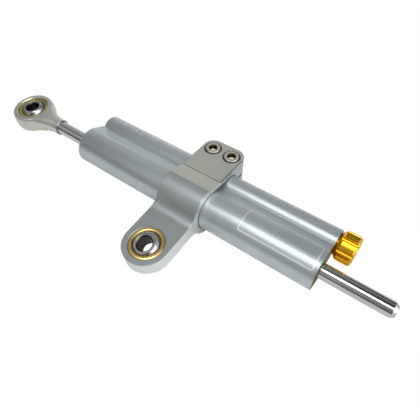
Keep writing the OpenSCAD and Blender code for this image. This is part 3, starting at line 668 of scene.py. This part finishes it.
def bearing_seat(piece, centre, top, depth, wide, past):
    """Bores the seat of a spherical bearing, and chamfers its upper mouth."""
    cut(piece, pin("race_bore", SEAT_R, 30, centre, 128))
    cut(piece, turned_upright("bore_mouth", centre, [
        (0, top - depth), (SEAT_R, top - depth), (RACE_R + wide, top + past), (0, top + past),
        (0, top - depth)], 128))


def eye_flare(u):
    """Half the eye's width where the neck flares into the head, u from its middle."""
    across = NECK_R + FLARE_R
    along = math.sqrt((EYE_R + FLARE_R) ** 2 - across ** 2)
    return across - math.sqrt(FLARE_R ** 2 - (along - u) ** 2)


def make_eye():
    """Crowned head and flared neck, melted together as in a forging, then faced and bored."""
    r, h = EYE_R, EYE_HALF
    side = [(r - 1.5, -h), (r - 0.95, -h + 0.2), (r - 0.55, -h + 0.8), (r - 0.2, -h + 2.2),
            (r, -0.8)]
    head = turned_upright("rod_eye_forging", EYE_CENTRE,
                          [(0, -h)] + side + [(x, -z) for x, z in side[::-1]] + [(0, h)], 160)

    start, end, steps = 7.6, EYE_REACH + 1.5, 28
    flare = []
    for i in range(steps + 1):
        t = i / steps
        u = start + t * (end - start)
        flare.append((EYE_X + u, eye_flare(u) - 0.4 * (1 - t) ** 2))
    neck = turned_along_x("eye_neck", MAIN_Y, [(EYE_X + 1, 0), (EYE_X + 1, flare[0][1])] + flare
                          + [(flare[-1][0], 0)], 144)
    slab = [(EYE_X - 5, MAIN_Y - r), (EYE_X + 40, MAIN_Y - r), (EYE_X + 40, MAIN_Y + r),
            (EYE_X - 5, MAIN_Y + r)]
    work(neck, sawn_from_plan("neck_slab", slab, -h, 2 * h), "INTERSECT")
    work(head, neck, "UNION")

    take(head)
    m = head.modifiers.new("melt", "REMESH")
    m.mode = "VOXEL"
    m.voxel_size = FORGING_VOXEL
    bpy.ops.object.modifier_apply(modifier=m.name)
    m = head.modifiers.new("settle", "SMOOTH")
    m.factor = 0.5
    m.iterations = FORGING_PASSES
    bpy.ops.object.modifier_apply(modifier=m.name)

    cut(head, pin("faced_end", 9, 10, (EYE_X + EYE_REACH + 5, MAIN_Y, 0), 48, ALONG_X))
    bearing_seat(head, EYE_CENTRE, h, 0.5, 0.75, 0.2)
    smooth(head, 35, weighted=False)
    fit(head, "rod", ["rod_eye"], "eye_nickel", forged_eye)


# ---------------------------------------------------------------- spherical bearings

def make_race(name, centre, body, node, finish):
    """Outer race: crowned face, with painted shade at its inner and outer edges and in its domed
    bore.
    """
    h, f, r = RACE_HALF, RACE_FACE, RACE_R
    piece = turned_upright(name, centre, [
        (f, -h), (r - 0.35, -h), (r, -h + 0.35), (r, h - 0.5), (r - 0.12, h - 0.32),
        (r - 0.3, h - 0.2), (r - 0.55, h - 0.08), (r - 0.85, h - 0.01), (r - 1.05, h),
        (f + 0.85, h - 0.02), (f + 0.55, h - 0.11), (f + 0.3, h - 0.25), (f, h - 0.5)]
        + arc((0, 0), RACE_DOME, 27, -27, 18) + [(f, -h)], 128)
    smooth(piece, 30)
    # Painted shade at the race's inner and outer edges and in its dome.
    paint(piece, 1, lambda c, n: not f + 0.3 < math.hypot(c.x - centre[0], c.y - centre[1])
          < r - 0.2)
    fit(piece, body, [node], "race_brass", finish, race_edge_shade)


def make_liner(name, centre, body, node):
    """Woven slide liner between the race and the ball."""
    ring = arc((0, 0), LINER_OUTER, -28, 28, 14)
    piece = turned_upright(name, centre, ring + arc((0, 0), LINER_INNER, 28, -28, 14)
                           + ring[:1], 96)
    smooth(piece, 30)
    fit(piece, body, [node], "liner_fabric", slide_liner)


def make_ball(name, centre, body, node, lean):
    """Truncated ball with a bore for the bolt, its mouths chamfered."""
    h, bore, mouth = BALL_HALF, BALL_BORE, BALL_MOUTH
    top = math.degrees(math.asin(h / BALL_R))
    rim = BALL_R * math.cos(math.radians(top))
    piece = turned_upright(name, centre, [
        (bore, -h + mouth), (bore + mouth, -h), (rim - 0.15, -h), (rim, -h + 0.1)]
        + arc((0, 0), BALL_R, -top, top, 24)[1:-1] + [
        (rim, h - 0.1), (rim - 0.15, h), (bore + mouth + 0.08, h),
        (bore + mouth - 0.06, h - 0.08), (bore + 0.05, h - mouth + 0.05),
        (bore, h - mouth - 0.1), (bore, -h + mouth)], 128)
    smooth(piece, 30)
    # Painted shade: the bore and the inner part of its mouths take the near-black finish.
    paint(piece, 1, lambda c, n: math.hypot(c.x - centre[0], c.y - centre[1])
          < bore + mouth - 0.1)
    if lean:
        turn(piece, lean, "X", centre)
    fit(piece, body, [node], "ball_chrome", chromed_ball, ball_bore_shade)


# ---------------------------------------------------------------- clamp

def facing_out(tilt):
    """The direction in which a flat with this tilt looks."""
    return Vector((0, math.sin(tilt), math.cos(tilt)))


def ear_point(e, n):
    """A point given along the ear and square to it, as (y, z)."""
    c, s = math.cos(EAR_TILT), math.sin(EAR_TILT)
    return SIDE_Y + e * c + n * s, -e * s + n * c


def flats_meet():
    """Where the slanted facet meets the ear's flat, as (y, z)."""
    n1 = (math.sin(FACET_TILT), math.cos(FACET_TILT))
    n2 = (math.sin(EAR_TILT), math.cos(EAR_TILT))
    d2 = EAR_H + TUBE_GAP * n2[0]
    det = n1[0] * n2[1] - n1[1] * n2[0]
    return MAIN_Y + (FACET_H * n2[1] - n1[1] * d2) / det, (n1[0] * d2 - n2[0] * FACET_H) / det


def clamp_section():
    """Arm, barrel, facet and ears, as (y, z)."""
    t, r = ARM_T / 2, ARM_FILLET
    fz, reach = t + r, BARREL_R + r
    fy = math.sqrt(reach ** 2 - fz ** 2)
    touch = math.degrees(math.atan2(fz, fy))
    facet = 90 - math.degrees(FACET_TILT) + math.degrees(math.acos(FACET_H / BARREL_R))
    low = EAR_H - TUBE_GAP * math.sin(EAR_TILT)
    under = -90 - math.degrees(EAR_TILT) + math.degrees(math.acos(low / BARREL_R))
    middle = (MAIN_Y, 0)
    fillet_top = arc((MAIN_Y - fy, fz), r, -90, -touch, 14)
    barrel_top = arc(middle, BARREL_R, 180 - touch, facet, 40)
    barrel_low = arc(middle, BARREL_R, under, -180 + touch, 60)
    fillet_low = arc((MAIN_Y - fy, -fz), r, touch, 90, 14)
    return ([(-16, t)] + fillet_top + barrel_top[1:] + [flats_meet(),
            ear_point(EAR_REACH, EAR_H), ear_point(EAR_REACH, -EAR_H)] + barrel_low
            + fillet_low[1:] + [(-16, -t)])


def tube_hole_section(gap):
    """Both tubes with straight tangents that bridge the web, this much wider all round."""
    a = math.degrees(math.asin((MAIN_R - SIDE_R) / TUBE_GAP))
    return (arc((MAIN_Y, 0), MAIN_R + gap, 90 - a, 270 + a, 120)
            + arc((SIDE_Y, 0), SIDE_R + gap, -90 + a, 90 - a, 80))


def make_clamp():
    """Block extruded to its section and cut to its plan, bored for the tubes, split, drilled and
    faced.
    """
    half = CLAMP_HALF
    piece = sawn_from_section("clamp_bracket_block", clamp_section(), -half, 2 * half)

    # Round end of the arm, and round corners of the ears
    arm_plan = arc((0, 0), half, 180, 360, 64) + [(half, 90), (-half, 90)]
    work(piece, sawn_from_plan("arm_plan", arm_plan, -40, 80), "INTERSECT")
    r = half - SCREW_X
    e = EAR_REACH - r
    ear_plan = (arc((SCREW_X, SIDE_Y + e), r, 0, 90, 20)
                + arc((-SCREW_X, SIDE_Y + e), r, 90, 180, 20) + [(-half, -40), (half, -40)])
    ears = sawn_from_plan("ear_plan", ear_plan, -60, 120)
    turn(ears, -math.degrees(EAR_TILT), "X", (0, SIDE_Y, 0))
    work(piece, ears, "INTERSECT")

    # Bore for both tubes, with a step at each mouth
    cut(piece, sawn_from_section("tube_hole", tube_hole_section(TUBE_CLEARANCE), -30, 60))
    soften(piece, 0.4, 40, 3)
    for start in (-half - 1, half - MOUTH_DEPTH):
        step = tube_hole_section(MOUTH_CLEARANCE)
        cut(piece, sawn_from_section("hole_mouth", step, start, 1 + MOUTH_DEPTH))

    # Score where the two flats meet, broken sides of the ears' flat, and the slot
    ry, rz = flats_meet()
    score = [(ry - 0.24, rz), (ry, rz - 0.28), (ry + 0.24, rz), (ry, rz + 0.3)]
    cut(piece, sawn_from_section("flats_score", score, -30, 60))
    near, far = (ry - SIDE_Y) / math.cos(EAR_TILT) - 3, e
    for s in (-1, 1):
        y, z = ear_point((near + far) / 2, EAR_H)
        cut(piece, pin("ear_chamfer", 0.45, far - near, (s * half, y, z), 4,
                       (-math.pi / 2 - EAR_TILT, 0, 0)))
    slot = [ear_point(0, -SLOT_HALF), ear_point(30, -SLOT_HALF), ear_point(30, SLOT_HALF),
            ear_point(0, SLOT_HALF)]
    cut(piece, sawn_from_section("slot", slot, -30, 60))

    # Counterbore, clear hole and tapped hole of each screw, and the bearing's seat
    for s in (-1, 1):
        for radius, low, high in ((COUNTERBORE_R, EAR_H - HEAD_H + HEAD_PROUD, EAR_H + 3),
                                  (CLEAR_HOLE_R, 0, EAR_H), (TAPPED_HOLE_R, -EAR_H - 3, 0)):
            y, z = ear_point(SCREW_REACH, (low + high) / 2)
            cut(piece, pin("drill", radius, high - low, (s * SCREW_X, y, z), 64,
                           (-EAR_TILT, 0, 0)))
    bearing_seat(piece, CLAMP_CENTRE, ARM_T / 2, 0.3, 0.5, 0.15)
    soften(piece, 0.1, 60, 1)

    # A face takes one finish, so the long faces are split where their finish or painted light
    # changes
    for y in (MAIN_Y - BARREL_R, MAIN_Y, ry):
        edit(piece)
        bpy.ops.mesh.bisect(plane_co=(0, y, 0), plane_no=(0, 1, 0))
        bpy.ops.object.mode_set(mode="OBJECT")
    smooth(piece, 9)

    # Finish numbers: milled flats, painted highlight, painted shade, painted light
    milled, bright, dark, lit_side = 1, 2, 3, 4
    facet, ear = facing_out(FACET_TILT), facing_out(EAR_TILT)

    def on_end_edge(c, n):
        return 0.25 < abs(n.x) < 0.97 and abs(c.x) > half - 0.5

    def in_mouth_step(c, n):
        return half - 0.6 < abs(c.x) < half - 0.05 and (
            math.hypot(c.y - MAIN_Y, c.z) < MAIN_R + 0.5
            or math.hypot(c.y - SIDE_Y, c.z) < SIDE_R + 0.5)

    paint(piece, milled, lambda c, n: c.y > MAIN_Y - 2
          and (n.dot(facet) > 0.998 or n.dot(ear) > 0.998))
    # Painted highlight along the end edges below the ears.
    paint(piece, bright, lambda c, n: on_end_edge(c, n) and c.y < ry)
    # Painted shade along the ears' end edges.
    paint(piece, dark, lambda c, n: on_end_edge(c, n) and c.y > ry and n.z > 0)
    # Painted shadow in the steps at the bore's mouths, round the tubes.
    paint(piece, dark, in_mouth_step)
    # Painted light on the end faces below the ears, and on the arm's round end.
    paint(piece, lit_side, lambda c, n: abs(n.x) > 0.97 and abs(c.x) > half - 0.02 and c.y < ry)
    paint(piece, lit_side, lambda c, n: c.y < MAIN_Y - BARREL_R
          and math.hypot(n.x, n.y) > 0.97 and math.hypot(c.x, c.y) > 10)
    # Painted shade in the score where the two flats meet.
    paint(piece, dark, lambda c, n: math.hypot(c.y - ry, c.z - rz) < 0.27 and abs(n.x) < 0.5)
    fit(piece, "clamp", ["clamp_bracket"], "clamp_anodised", blasted_clamp, milled_clamp,
        edge_highlight, painted_shade_line, painted_light_side)


def make_screws():
    """One socket-head screw, turned and broached, then copied to its mate's place."""
    y, z = ear_point(SCREW_REACH, EAR_H + HEAD_PROUD)
    seat = (SCREW_X, y, z)
    first = turned_upright("clamp_screw_pair", seat, [
        (0, -SCREW_LEN), (2.1, -SCREW_LEN), (SCREW_R, -20.5), (SCREW_R, -HEAD_H),
        (HEAD_R, -HEAD_H), (HEAD_R, -0.6), (4.17, -0.28), (3.98, -0.07), (3.7, 0), (0, 0)], 96)
    socket = pin("socket", KEY_WIDTH / 2 / math.cos(math.pi / 6), 2 * KEY_DEPTH, seat, 6)
    turn(socket, KEY_TURN, "Z", seat)
    cut(first, socket)
    mouth_cone = [(0, -0.55), (2.0, -0.55), (2.85, 0.3), (0, 0.3)]
    drilled_cone = [(0, -3.4), (1.6, -2.25), (1.6, -2.1), (0, -2.1)]
    for profile in (mouth_cone, drilled_cone):
        cut(first, turned_upright("socket_end", seat, profile, 64))
    turn(first, -math.degrees(EAR_TILT), "X", seat)
    smooth(first, 35)

    take(first)
    bpy.ops.object.duplicate()
    bpy.context.object.location.x = -2 * SCREW_X
    bpy.ops.object.transform_apply(location=True, rotation=True, scale=True)
    first.select_set(True)
    bpy.context.view_layer.objects.active = first
    bpy.ops.object.join()

    # Painted after the join, because a join drops the numbers of pieces without finishes. The
    # sockets' walls get painted shade, their drilled ends a painted highlight.
    socket_wall, socket_end = 1, 2
    out = facing_out(EAR_TILT)

    def depth(c):
        return (Vector(seat) - c).dot(out)

    def in_socket(c, n):
        spot = Vector((abs(c.x) - SCREW_X, c.y - y, c.z - z))
        return 0.02 < depth(c) < 4.8 and (spot + depth(c) * out).length < SCREW_R

    paint(first, socket_wall, in_socket)
    paint(first, socket_end, lambda c, n: in_socket(c, n) and depth(c) > 2.28
          and n.dot(out) > 0.5)
    fit(first, "clamp", ["clamp_screws"], "screw_stainless", stainless_screw, screw_socket,
        socket_floor_highlight)


# ---------------------------------------------------------------- adjuster knob

def make_knob():
    """Turned grip with a foot, a dish and a screw hole, fluted all round."""
    foot, back, front, r = KNOB_FOOT, KNOB_BACK, KNOB_FRONT, KNOB_R
    piece = turned_along_x("adjuster_knob_grip", SIDE_Y, [
        (foot, KNOB_BORE), (foot, 4.7), (back, 4.7), (back, r - 2.1), (back + 0.12, r - 1.9),
        (back + 1.85, r - 0.14), (back + 2.2, r), (front - 1.35, r), (front - 1.05, r - 0.14),
        (front - 0.12, r - 1.06), (front, r - 1.3), (front, 5.3), (front - 0.12, 5.05),
        (front - 0.6, 4.6), (front - 1.2, 4.6), (front - 1.2, 1.35), (front - 3.2, 1.35),
        (front - 3.2, KNOB_BORE), (foot, KNOB_BORE)], 160)
    for i in range(GROOVES):
        a = math.radians(GROOVE_TURN + (i + 0.5) * 360 / GROOVES)
        y, z = SIDE_Y + GROOVE_RING * math.sin(a), -GROOVE_RING * math.cos(a)
        cut(piece, pin("groove", GROOVE_R, 20, (82, y, z), 40, ALONG_X))
    soften(piece, 0.35, 40, 3)
    smooth(piece, 28)
    fit(piece, "knob", ["adjuster_knob"], "knob_gold", gold_knob)


# ---------------------------------------------------------------- studio

FLOOR_Z = -0.0152
FLOOR_GLOW = 0.97
PANEL_EDGE = 42            # degrees from a panel's middle to where it ends
PANEL_CORE = 10.5          # degrees from a panel's middle to where it starts to fade


def make_floor():
    """White table just under the damper, which the camera sees almost blown out."""
    clear_selection()
    bpy.ops.mesh.primitive_plane_add(size=8, location=(0, 0, FLOOR_Z))
    floor = bpy.context.object
    floor.name = "studio_floor"
    mat = bpy.data.materials.new("white_table")
    mat.use_nodes = True
    t = mat.node_tree
    shader = t.nodes["Principled BSDF"]
    shader.inputs["Base Color"].default_value = (0.92, 0.92, 0.92, 1)
    shader.inputs["Roughness"].default_value = 0.8
    shader.inputs["Specular IOR Level"].default_value = 0.1
    glow = t.nodes.new("ShaderNodeEmission")
    glow.inputs["Strength"].default_value = 1.0
    path = t.nodes.new("ShaderNodeLightPath")
    part = t.nodes.new("ShaderNodeMath")
    part.operation = "MULTIPLY"
    part.inputs[1].default_value = FLOOR_GLOW
    mix = t.nodes.new("ShaderNodeMixShader")
    t.links.new(path.outputs["Is Camera Ray"], part.inputs[0])
    t.links.new(part.outputs[0], mix.inputs[0])
    t.links.new(shader.outputs[0], mix.inputs[1])
    t.links.new(glow.outputs[0], mix.inputs[2])
    t.links.new(mix.outputs[0], t.nodes["Material Output"].inputs["Surface"])
    floor.data.materials.append(mat)


def softbox(name, place, target, size_x, size_y, power):
    """A rectangular lamp that faces the target."""
    data = bpy.data.lights.new(name, "AREA")
    data.shape = "RECTANGLE"
    data.size, data.size_y = size_x, size_y
    data.energy = power
    lamp = bpy.data.objects.new(name, data)
    bpy.context.scene.collection.objects.link(lamp)
    lamp.location = place
    lamp.rotation_euler = (Vector(target) - Vector(place)).to_track_quat("-Z", "Y").to_euler()


def make_world():
    """A dim room with a bright window beyond the knob's end and soft panels around."""
    world = bpy.data.worlds.new("studio")
    bpy.context.scene.world = world
    world.use_nodes = True
    t = world.node_tree
    place = t.nodes.new("ShaderNodeTexCoord")

    def facing(azimuth, elevation):
        """How near a ray runs to this direction, in degrees: 1 along it, 0 square to it."""
        a, e = math.radians(azimuth), math.radians(elevation)
        towards = t.nodes.new("ShaderNodeVectorMath")
        towards.operation = "DOT_PRODUCT"
        towards.inputs[1].default_value = (math.cos(a) * math.cos(e),
                                           math.sin(a) * math.cos(e), math.sin(e))
        t.links.new(place.outputs["Generated"], towards.inputs[0])
        return towards.outputs["Value"]

    def span(value, low, high, top):
        """A node that goes from 0 to top as the value goes from low to high."""
        n = t.nodes.new("ShaderNodeMapRange")
        n.inputs["From Min"].default_value = low
        n.inputs["From Max"].default_value = high
        n.inputs["To Max"].default_value = top
        t.links.new(value, n.inputs["Value"])
        return n

    def panel(azimuth, elevation, strength):
        """A round soft-edged glow in this direction."""
        fade = span(facing(azimuth, elevation), math.cos(math.radians(PANEL_EDGE)),
                    math.cos(math.radians(PANEL_CORE)), strength)
        fade.interpolation_type = "SMOOTHSTEP"
        return fade.outputs["Result"]

    def combine(x, y, operation):
        n = t.nodes.new("ShaderNodeMath")
        n.operation = operation
        t.links.new(x, n.inputs[0])
        t.links.new(y, n.inputs[1])
        return n.outputs[0]

    light = panel(0, 5, 1.4)
    for elevation, panels in ((5, ((45, 0.75), (90, 0.05), (135, 0.23), (270, 0.12))),
                              (42, ((0, 1.6), (120, 0.30), (180, 0.20), (240, 0.41)))):
        for azimuth, strength in panels:
            light = combine(light, panel(azimuth, elevation, strength), "ADD")

    # The glow fades towards the zenith, and away from azimuth 130
    below = span(facing(0, 90), 0.16, 0.06, 1.0).outputs["Result"]
    sideways = span(facing(130, 0), 0.7, 1.0, 1.15).outputs["Result"]
    light = combine(light, combine(below, sideways, "MULTIPLY"), "ADD")
    t.links.new(light, t.nodes["Background"].inputs["Color"])


def make_camera():
    """Camera at the photograph's place, turned a little about its line of sight."""
    eye = Vector((0.09296, -0.05759, 0.17299))
    target = Vector((0.01291, 0.0360, 0.0))
    roll = -0.1035
    look = (target - eye).normalized()
    side = look.cross(Vector((0, 0, 1))).normalized()
    up = side.cross(look)
    right = math.cos(roll) * side + math.sin(roll) * up
    top = -math.sin(roll) * side + math.cos(roll) * up
    data = bpy.data.cameras.new("camera")
    data.sensor_width = 36
    data.lens = 34.17
    data.clip_start, data.clip_end = 0.005, 20
    cam = bpy.data.objects.new("camera", data)
    bpy.context.scene.collection.objects.link(cam)
    m = Matrix((right, top, -look)).transposed().to_4x4()
    m.translation = eye
    cam.matrix_world = m
    bpy.context.scene.camera = cam


# ---------------------------------------------------------------- make everything

make_body()
make_rod()
make_collar()
make_eye()
make_race("eye_race_ring", EYE_CENTRE, "rod", "eye_bearing_race", olive_race)
make_liner("eye_liner_shell", EYE_CENTRE, "eye_liner", "eye_bearing_liner")
make_ball("eye_ball_turned", EYE_CENTRE, "eye_ball", "eye_bearing_ball", 0)
make_race("clamp_race_ring", CLAMP_CENTRE, "clamp", "clamp_bearing_race", brass_race)
make_liner("clamp_liner_shell", CLAMP_CENTRE, "clamp_liner", "clamp_bearing_liner")
make_ball("clamp_ball_turned", CLAMP_CENTRE, "clamp_ball", "clamp_bearing_ball", BALL_LEAN)
make_clamp()
make_screws()
make_knob()

CAD_FINISH = {
    "body_anodised": anodised_body, "clamp_anodised": blasted_clamp, "rod_chrome": chromed_rod,
    "eye_nickel": forged_eye, "collar_steel": polished_collar, "race_brass": brass_race,
    "ball_chrome": chromed_ball, "liner_fabric": slide_liner, "guide_aluminium": guide_metal,
    "bush_bronze": bronze_bush, "seal_rubber": black_rubber, "clip_steel": spring_steel,
    "washer_steel": plain_steel, "piston_aluminium": turned_aluminium,
    "band_polymer": slide_band, "sleeve_aluminium": dark_sleeve, "needle_steel": plain_steel,
    "seat_brass": seat_brass, "knob_gold": gold_knob, "screw_stainless": stainless_screw,
}
slots = {s["node"]: s["material_slot"] for s in frame["record"]["subparts"]}
for name, node in frame["nodes"].items():
    node.data.materials.clear()
    node.data.materials.append(CAD_FINISH[slots[name]])

make_floor()
make_world()
softbox("overhead_softbox", (0.07, -0.13, 0.75), (0.07, 0.04, 0), 0.55, 0.34, 1.45)
softbox("overhead_strip", (-0.10, -0.15, 0.75), (-0.10, 0.04, 0), 0.42, 0.22, 0.65)
make_camera()
bpy.context.scene.view_settings.view_transform = "Standard"
